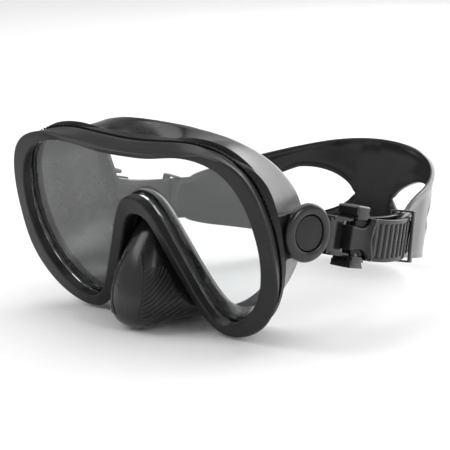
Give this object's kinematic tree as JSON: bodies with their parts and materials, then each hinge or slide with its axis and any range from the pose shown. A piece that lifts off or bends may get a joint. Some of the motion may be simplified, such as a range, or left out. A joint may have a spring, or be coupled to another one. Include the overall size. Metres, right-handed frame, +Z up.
{
  "type": "diving mask",
  "caption": "Single-window diving mask with clear glass, black frame, soft black skirt with nose pocket, swivelling strap buckles and a split rear head strap.",
  "frame": {"origin": "middle of the mask's outline on the surface it stands on", "axes": "+Z up, -Y the way the wearer looks, +X the wearer's left"},
  "size_m": [0.1742, 0.2149, 0.1015],
  "materials": {
    "glass": "clear, slightly green at the edge",
    "bezel": "black, fine matt grain with a glossier chamfer",
    "frame": "black, satin",
    "skirt_silicone": "black silicone, satin outside, glossy inside",
    "strap_silicone": "black silicone, satin",
    "gloss_black": "polished black",
    "satin_black": "black, satin",
    "satin_grey": "dark grey, fine matt",
    "button_black": "black with small grip dots",
    "steel": "stainless"
  },
  "bodies": {
    "mask": {"lens": "glass", "front_bezel": "bezel", "rear_frame": "frame", "skirt": "skirt_silicone", "left_lug": "frame", "left_pivot_pin": "steel", "left_cap": "gloss_black", "left_cap_insert": "satin_grey", "right_lug": "frame", "right_pivot_pin": "steel", "right_cap": "gloss_black", "right_cap_insert": "satin_grey"},
    "harness": {"strap": "strap_silicone", "left_buckle_body": "gloss_black", "left_roller_axle": "steel", "left_latch_pin": "steel", "left_keeper": "strap_silicone", "right_buckle_body": "gloss_black", "right_roller_axle": "steel", "right_latch_pin": "steel", "right_keeper": "strap_silicone"},
    "left_roller": {"left_roller": "satin_black"},
    "left_latch": {"left_latch": "satin_black"},
    "left_upper_button": {"left_upper_button": "button_black"},
    "left_lower_button": {"left_lower_button": "button_black"},
    "right_roller": {"right_roller": "satin_black"},
    "right_latch": {"right_latch": "satin_black"},
    "right_upper_button": {"right_upper_button": "button_black"},
    "right_lower_button": {"right_lower_button": "button_black"}
  },
  "joints": [
    {"name": "harness_tilt", "type": "hinge", "parent": "mask", "child": "harness", "pos_m": [0, -0.0694, 0.0548], "axis": [1, 0, 0], "range_deg": [-20, 45]},
    {"name": "left_roller_spin", "type": "hinge", "parent": "harness", "child": "left_roller", "pos_m": [0.0785, -0.0275, 0.04513], "axis": [0, 0.225, 0.9744], "continuous": true},
    {"name": "left_latch_lift", "type": "hinge", "parent": "harness", "child": "left_latch", "pos_m": [0.0807, -0.04017, 0.04805], "axis": [0, -0.225, -0.9744], "range_deg": [0, 18]},
    {"name": "left_upper_button_press", "type": "slide", "parent": "harness", "child": "left_upper_button", "axis": [0, -0.225, -0.9744], "range_m": [0, 0.0011], "stiffness_N_per_m": 1500, "springref_m": -0.0005},
    {"name": "left_lower_button_press", "type": "slide", "parent": "harness", "child": "left_lower_button", "axis": [0, 0.225, 0.9744], "range_m": [0, 0.0011], "stiffness_N_per_m": 1500, "springref_m": -0.0005},
    {"name": "right_roller_spin", "type": "hinge", "parent": "harness", "child": "right_roller", "pos_m": [-0.0785, -0.0275, 0.04513], "axis": [0, 0.225, 0.9744], "continuous": true},
    {"name": "right_latch_lift", "type": "hinge", "parent": "harness", "child": "right_latch", "pos_m": [-0.0807, -0.04017, 0.04805], "axis": [0, 0.225, 0.9744], "range_deg": [0, 18]},
    {"name": "right_upper_button_press", "type": "slide", "parent": "harness", "child": "right_upper_button", "axis": [0, -0.225, -0.9744], "range_m": [0, 0.0011], "stiffness_N_per_m": 1500, "springref_m": -0.0005},
    {"name": "right_lower_button_press", "type": "slide", "parent": "harness", "child": "right_lower_button", "axis": [0, 0.225, 0.9744], "range_m": [0, 0.0011], "stiffness_N_per_m": 1500, "springref_m": -0.0005}
  ]
}
